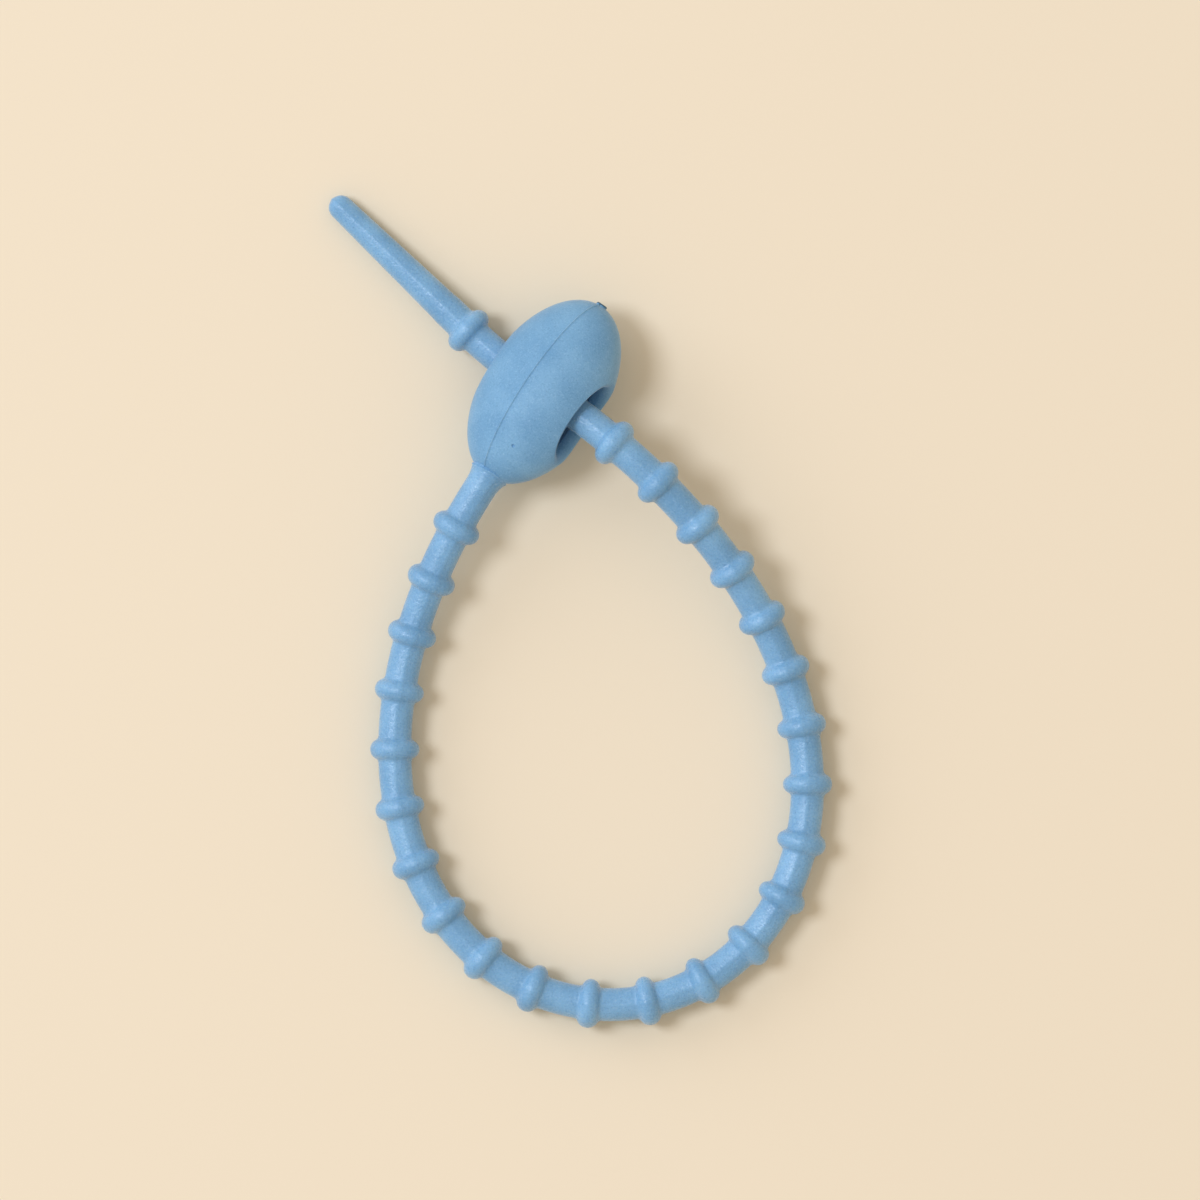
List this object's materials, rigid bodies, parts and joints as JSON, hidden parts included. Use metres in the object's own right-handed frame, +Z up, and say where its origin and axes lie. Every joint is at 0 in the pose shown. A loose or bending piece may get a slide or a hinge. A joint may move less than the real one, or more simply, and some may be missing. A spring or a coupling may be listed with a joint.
{
  "type": "silicone cable tie",
  "caption": "One-piece silicone cable tie with an egg-shaped slotted head and a beaded strap, closed into a loop, its plain pull tail past the head.",
  "frame": {"origin": "on the table, under the middle of the tie's outline seen from above", "axes": "+Z up from the table; +Y from the bottom of the loop towards the head and the pull tail; +X to the right seen from above"},
  "size_m": [0.039, 0.0646, 0.0081],
  "materials": {
    "silicone": "matte moulded blue silicone, a fine grain on the head and a slightly glossier strap"
  },
  "bodies": {
    "root": {"silicone_tie": "silicone"}
  },
  "joints": []
}
